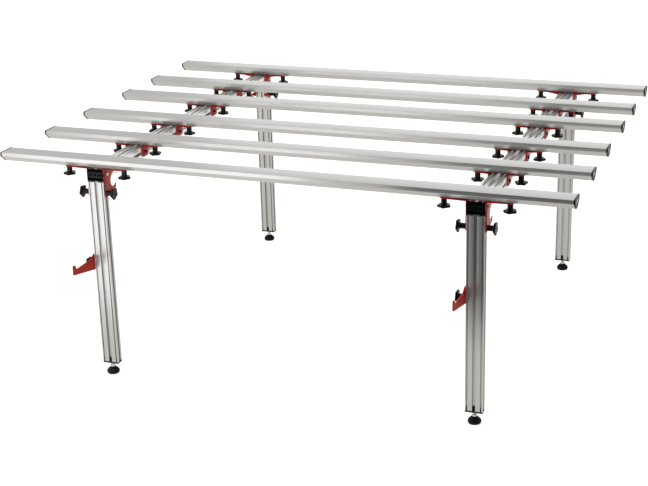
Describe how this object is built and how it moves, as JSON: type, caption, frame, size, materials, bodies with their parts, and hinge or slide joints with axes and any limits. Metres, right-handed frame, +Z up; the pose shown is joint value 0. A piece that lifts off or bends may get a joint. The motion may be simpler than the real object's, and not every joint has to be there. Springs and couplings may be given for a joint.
{
  "type": "folding work table",
  "caption": "Folding work table: grooved aluminium rails on folding legs with levelling feet carry clamped hollow slats as an open worktop, with support hooks in front.",
  "frame": {"origin": "on the floor, under the middle of the table's box", "axes": "+X along the slats to the right, +Y along the rails to the back, +Z up"},
  "size_m": [1.8, 1.49, 0.723],
  "materials": {
    "aluminium": "satin anodised",
    "red_coat": "red powder coat on steel sheet",
    "black_knob": "black moulded nylon with a soft gloss",
    "foot_rubber": "black rubber"
  },
  "bodies": {
    "frame": {"hinge_bracket_back_left": "red_coat", "hinge_bracket_back_right": "red_coat", "hinge_bracket_front_left": "red_coat", "hinge_bracket_front_right": "red_coat", "rail_left": "aluminium", "rail_right": "aluminium"},
    "slat_1": {"slat_1": "aluminium"},
    "clamp_knob_1_left_inner": {"clamp_knob_1_left_inner": "black_knob"},
    "clamp_knob_1_left_outer": {"clamp_knob_1_left_outer": "black_knob"},
    "clamp_knob_1_right_inner": {"clamp_knob_1_right_inner": "black_knob"},
    "clamp_knob_1_right_outer": {"clamp_knob_1_right_outer": "black_knob"},
    "carriage_2": {"clamp_bracket_2_left": "red_coat", "clamp_bracket_2_right": "red_coat"},
    "slat_2": {"slat_2": "aluminium"},
    "clamp_knob_2_left_inner": {"clamp_knob_2_left_inner": "black_knob"},
    "clamp_knob_2_left_outer": {"clamp_knob_2_left_outer": "black_knob"},
    "clamp_knob_2_right_inner": {"clamp_knob_2_right_inner": "black_knob"},
    "clamp_knob_2_right_outer": {"clamp_knob_2_right_outer": "black_knob"},
    "carriage_3": {"clamp_bracket_3_left": "red_coat", "clamp_bracket_3_right": "red_coat"},
    "slat_3": {"slat_3": "aluminium"},
    "clamp_knob_3_left_inner": {"clamp_knob_3_left_inner": "black_knob"},
    "clamp_knob_3_left_outer": {"clamp_knob_3_left_outer": "black_knob"},
    "clamp_knob_3_right_inner": {"clamp_knob_3_right_inner": "black_knob"},
    "clamp_knob_3_right_outer": {"clamp_knob_3_right_outer": "black_knob"},
    "carriage_4": {"clamp_bracket_4_left": "red_coat", "clamp_bracket_4_right": "red_coat"},
    "slat_4": {"slat_4": "aluminium"},
    "clamp_knob_4_left_inner": {"clamp_knob_4_left_inner": "black_knob"},
    "clamp_knob_4_left_outer": {"clamp_knob_4_left_outer": "black_knob"},
    "clamp_knob_4_right_inner": {"clamp_knob_4_right_inner": "black_knob"},
    "clamp_knob_4_right_outer": {"clamp_knob_4_right_outer": "black_knob"},
    "carriage_5": {"clamp_bracket_5_left": "red_coat", "clamp_bracket_5_right": "red_coat"},
    "slat_5": {"slat_5": "aluminium"},
    "clamp_knob_5_left_inner": {"clamp_knob_5_left_inner": "black_knob"},
    "clamp_knob_5_left_outer": {"clamp_knob_5_left_outer": "black_knob"},
    "clamp_knob_5_right_inner": {"clamp_knob_5_right_inner": "black_knob"},
    "clamp_knob_5_right_outer": {"clamp_knob_5_right_outer": "black_knob"},
    "slat_6": {"slat_6": "aluminium"},
    "clamp_knob_6_left_inner": {"clamp_knob_6_left_inner": "black_knob"},
    "clamp_knob_6_left_outer": {"clamp_knob_6_left_outer": "black_knob"},
    "clamp_knob_6_right_inner": {"clamp_knob_6_right_inner": "black_knob"},
    "clamp_knob_6_right_outer": {"clamp_knob_6_right_outer": "black_knob"},
    "leg_front_left": {"leg_front_left": "aluminium"},
    "lock_spindle_front_left": {"lock_spindle_front_left": "black_knob"},
    "foot_front_left": {"foot_front_left": "foot_rubber"},
    "hook_left": {"hook_left": "red_coat"},
    "hook_knob_left": {"hook_knob_left": "black_knob"},
    "leg_front_right": {"leg_front_right": "aluminium"},
    "lock_spindle_front_right": {"lock_spindle_front_right": "black_knob"},
    "foot_front_right": {"foot_front_right": "foot_rubber"},
    "hook_right": {"hook_right": "red_coat"},
    "hook_knob_right": {"hook_knob_right": "black_knob"},
    "leg_back_left": {"leg_back_left": "aluminium"},
    "lock_spindle_back_left": {"lock_spindle_back_left": "black_knob"},
    "foot_back_left": {"foot_back_left": "foot_rubber"},
    "leg_back_right": {"leg_back_right": "aluminium"},
    "lock_spindle_back_right": {"lock_spindle_back_right": "black_knob"},
    "foot_back_right": {"foot_back_right": "foot_rubber"}
  },
  "joints": [
    {"name": "slat_1_slide", "type": "slide", "parent": "frame", "child": "slat_1", "axis": [1, 0, 0], "range_m": [-0.16, 0.2]},
    {"name": "clamp_knob_1_left_inner_turn", "type": "hinge", "parent": "frame", "child": "clamp_knob_1_left_inner", "pos_m": [-0.485, -0.6045, 0.6884], "axis": [0, 0, 1], "continuous": true},
    {"name": "clamp_knob_1_left_outer_turn", "type": "hinge", "parent": "frame", "child": "clamp_knob_1_left_outer", "pos_m": [-0.675, -0.6045, 0.6884], "axis": [0, 0, 1], "continuous": true},
    {"name": "clamp_knob_1_right_inner_turn", "type": "hinge", "parent": "frame", "child": "clamp_knob_1_right_inner", "pos_m": [0.525, -0.6045, 0.6884], "axis": [0, 0, 1], "continuous": true},
    {"name": "clamp_knob_1_right_outer_turn", "type": "hinge", "parent": "frame", "child": "clamp_knob_1_right_outer", "pos_m": [0.715, -0.6045, 0.6884], "axis": [0, 0, 1], "continuous": true},
    {"name": "carriage_2_slide", "type": "slide", "parent": "frame", "child": "carriage_2", "axis": [0, 1, 0], "range_m": [-0.08, 0.08]},
    {"name": "slat_2_slide", "type": "slide", "parent": "carriage_2", "child": "slat_2", "axis": [1, 0, 0], "range_m": [-0.16, 0.2]},
    {"name": "clamp_knob_2_left_inner_turn", "type": "hinge", "parent": "carriage_2", "child": "clamp_knob_2_left_inner", "pos_m": [-0.514, -0.3375, 0.6884], "axis": [0, 0, 1], "continuous": true},
    {"name": "clamp_knob_2_left_outer_turn", "type": "hinge", "parent": "carriage_2", "child": "clamp_knob_2_left_outer", "pos_m": [-0.646, -0.3375, 0.6884], "axis": [0, 0, 1], "continuous": true},
    {"name": "clamp_knob_2_right_inner_turn", "type": "hinge", "parent": "carriage_2", "child": "clamp_knob_2_right_inner", "pos_m": [0.554, -0.3375, 0.6884], "axis": [0, 0, 1], "continuous": true},
    {"name": "clamp_knob_2_right_outer_turn", "type": "hinge", "parent": "carriage_2", "child": "clamp_knob_2_right_outer", "pos_m": [0.686, -0.3375, 0.6884], "axis": [0, 0, 1], "continuous": true},
    {"name": "carriage_3_slide", "type": "slide", "parent": "frame", "child": "carriage_3", "axis": [0, 1, 0], "range_m": [-0.08, 0.08]},
    {"name": "slat_3_slide", "type": "slide", "parent": "carriage_3", "child": "slat_3", "axis": [1, 0, 0], "range_m": [-0.16, 0.2]},
    {"name": "clamp_knob_3_left_inner_turn", "type": "hinge", "parent": "carriage_3", "child": "clamp_knob_3_left_inner", "pos_m": [-0.514, -0.0825, 0.6884], "axis": [0, 0, 1], "continuous": true},
    {"name": "clamp_knob_3_left_outer_turn", "type": "hinge", "parent": "carriage_3", "child": "clamp_knob_3_left_outer", "pos_m": [-0.646, -0.0825, 0.6884], "axis": [0, 0, 1], "continuous": true},
    {"name": "clamp_knob_3_right_inner_turn", "type": "hinge", "parent": "carriage_3", "child": "clamp_knob_3_right_inner", "pos_m": [0.554, -0.0825, 0.6884], "axis": [0, 0, 1], "continuous": true},
    {"name": "clamp_knob_3_right_outer_turn", "type": "hinge", "parent": "carriage_3", "child": "clamp_knob_3_right_outer", "pos_m": [0.686, -0.0825, 0.6884], "axis": [0, 0, 1], "continuous": true},
    {"name": "carriage_4_slide", "type": "slide", "parent": "frame", "child": "carriage_4", "axis": [0, 1, 0], "range_m": [-0.08, 0.08]},
    {"name": "slat_4_slide", "type": "slide", "parent": "carriage_4", "child": "slat_4", "axis": [1, 0, 0], "range_m": [-0.16, 0.2]},
    {"name": "clamp_knob_4_left_inner_turn", "type": "hinge", "parent": "carriage_4", "child": "clamp_knob_4_left_inner", "pos_m": [-0.514, 0.2005, 0.6884], "axis": [0, 0, 1], "continuous": true},
    {"name": "clamp_knob_4_left_outer_turn", "type": "hinge", "parent": "carriage_4", "child": "clamp_knob_4_left_outer", "pos_m": [-0.646, 0.2005, 0.6884], "axis": [0, 0, 1], "continuous": true},
    {"name": "clamp_knob_4_right_inner_turn", "type": "hinge", "parent": "carriage_4", "child": "clamp_knob_4_right_inner", "pos_m": [0.554, 0.2005, 0.6884], "axis": [0, 0, 1], "continuous": true},
    {"name": "clamp_knob_4_right_outer_turn", "type": "hinge", "parent": "carriage_4", "child": "clamp_knob_4_right_outer", "pos_m": [0.686, 0.2005, 0.6884], "axis": [0, 0, 1], "continuous": true},
    {"name": "carriage_5_slide", "type": "slide", "parent": "frame", "child": "carriage_5", "axis": [0, 1, 0], "range_m": [-0.08, 0.08]},
    {"name": "slat_5_slide", "type": "slide", "parent": "carriage_5", "child": "slat_5", "axis": [1, 0, 0], "range_m": [-0.16, 0.2]},
    {"name": "clamp_knob_5_left_inner_turn", "type": "hinge", "parent": "carriage_5", "child": "clamp_knob_5_left_inner", "pos_m": [-0.514, 0.4325, 0.6884], "axis": [0, 0, 1], "continuous": true},
    {"name": "clamp_knob_5_left_outer_turn", "type": "hinge", "parent": "carriage_5", "child": "clamp_knob_5_left_outer", "pos_m": [-0.646, 0.4325, 0.6884], "axis": [0, 0, 1], "continuous": true},
    {"name": "clamp_knob_5_right_inner_turn", "type": "hinge", "parent": "carriage_5", "child": "clamp_knob_5_right_inner", "pos_m": [0.554, 0.4325, 0.6884], "axis": [0, 0, 1], "continuous": true},
    {"name": "clamp_knob_5_right_outer_turn", "type": "hinge", "parent": "carriage_5", "child": "clamp_knob_5_right_outer", "pos_m": [0.686, 0.4325, 0.6884], "axis": [0, 0, 1], "continuous": true},
    {"name": "slat_6_slide", "type": "slide", "parent": "frame", "child": "slat_6", "axis": [1, 0, 0], "range_m": [-0.16, 0.2]},
    {"name": "clamp_knob_6_left_inner_turn", "type": "hinge", "parent": "frame", "child": "clamp_knob_6_left_inner", "pos_m": [-0.485, 0.7005, 0.6884], "axis": [0, 0, 1], "continuous": true},
    {"name": "clamp_knob_6_left_outer_turn", "type": "hinge", "parent": "frame", "child": "clamp_knob_6_left_outer", "pos_m": [-0.675, 0.7005, 0.6884], "axis": [0, 0, 1], "continuous": true},
    {"name": "clamp_knob_6_right_inner_turn", "type": "hinge", "parent": "frame", "child": "clamp_knob_6_right_inner", "pos_m": [0.525, 0.7005, 0.6884], "axis": [0, 0, 1], "continuous": true},
    {"name": "clamp_knob_6_right_outer_turn", "type": "hinge", "parent": "frame", "child": "clamp_knob_6_right_outer", "pos_m": [0.715, 0.7005, 0.6884], "axis": [0, 0, 1], "continuous": true},
    {"name": "leg_front_left_fold", "type": "hinge", "parent": "frame", "child": "leg_front_left", "pos_m": [-0.58, -0.6045, 0.6104], "axis": [1, 0, 0], "range_deg": [0, 90]},
    {"name": "lock_spindle_front_left_turn", "type": "hinge", "parent": "leg_front_left", "child": "lock_spindle_front_left", "pos_m": [-0.58, -0.6045, 0.6104], "axis": [1, 0, 0], "continuous": true},
    {"name": "foot_front_left_level", "type": "slide", "parent": "leg_front_left", "child": "foot_front_left", "axis": [0, 0, -1], "range_m": [-0.0087, 0.025]},
    {"name": "hook_left_height", "type": "slide", "parent": "leg_front_left", "child": "hook_left", "axis": [0, 0, 1], "range_m": [-0.28, 0.095]},
    {"name": "hook_knob_left_turn", "type": "hinge", "parent": "hook_left", "child": "hook_knob_left", "pos_m": [-0.6116, -0.6045, 0.3725], "axis": [1, 0, 0], "continuous": true},
    {"name": "leg_front_right_fold", "type": "hinge", "parent": "frame", "child": "leg_front_right", "pos_m": [0.62, -0.6045, 0.6104], "axis": [1, 0, 0], "range_deg": [0, 90]},
    {"name": "lock_spindle_front_right_turn", "type": "hinge", "parent": "leg_front_right", "child": "lock_spindle_front_right", "pos_m": [0.62, -0.6045, 0.6104], "axis": [1, 0, 0], "continuous": true},
    {"name": "foot_front_right_level", "type": "slide", "parent": "leg_front_right", "child": "foot_front_right", "axis": [0, 0, -1], "range_m": [-0.0087, 0.025]},
    {"name": "hook_right_height", "type": "slide", "parent": "leg_front_right", "child": "hook_right", "axis": [0, 0, 1], "range_m": [-0.28, 0.095]},
    {"name": "hook_knob_right_turn", "type": "hinge", "parent": "hook_right", "child": "hook_knob_right", "pos_m": [0.5884, -0.6045, 0.3955], "axis": [1, 0, 0], "continuous": true},
    {"name": "leg_back_left_fold", "type": "hinge", "parent": "frame", "child": "leg_back_left", "pos_m": [-0.58, 0.7245, 0.6104], "axis": [-1, 0, 0], "range_deg": [0, 90]},
    {"name": "lock_spindle_back_left_turn", "type": "hinge", "parent": "leg_back_left", "child": "lock_spindle_back_left", "pos_m": [-0.58, 0.7245, 0.6104], "axis": [1, 0, 0], "continuous": true},
    {"name": "foot_back_left_level", "type": "slide", "parent": "leg_back_left", "child": "foot_back_left", "axis": [0, 0, -1], "range_m": [-0.0087, 0.025]},
    {"name": "leg_back_right_fold", "type": "hinge", "parent": "frame", "child": "leg_back_right", "pos_m": [0.62, 0.7245, 0.6104], "axis": [-1, 0, 0], "range_deg": [0, 90]},
    {"name": "lock_spindle_back_right_turn", "type": "hinge", "parent": "leg_back_right", "child": "lock_spindle_back_right", "pos_m": [0.62, 0.7245, 0.6104], "axis": [1, 0, 0], "continuous": true},
    {"name": "foot_back_right_level", "type": "slide", "parent": "leg_back_right", "child": "foot_back_right", "axis": [0, 0, -1], "range_m": [-0.0087, 0.025]}
  ]
}
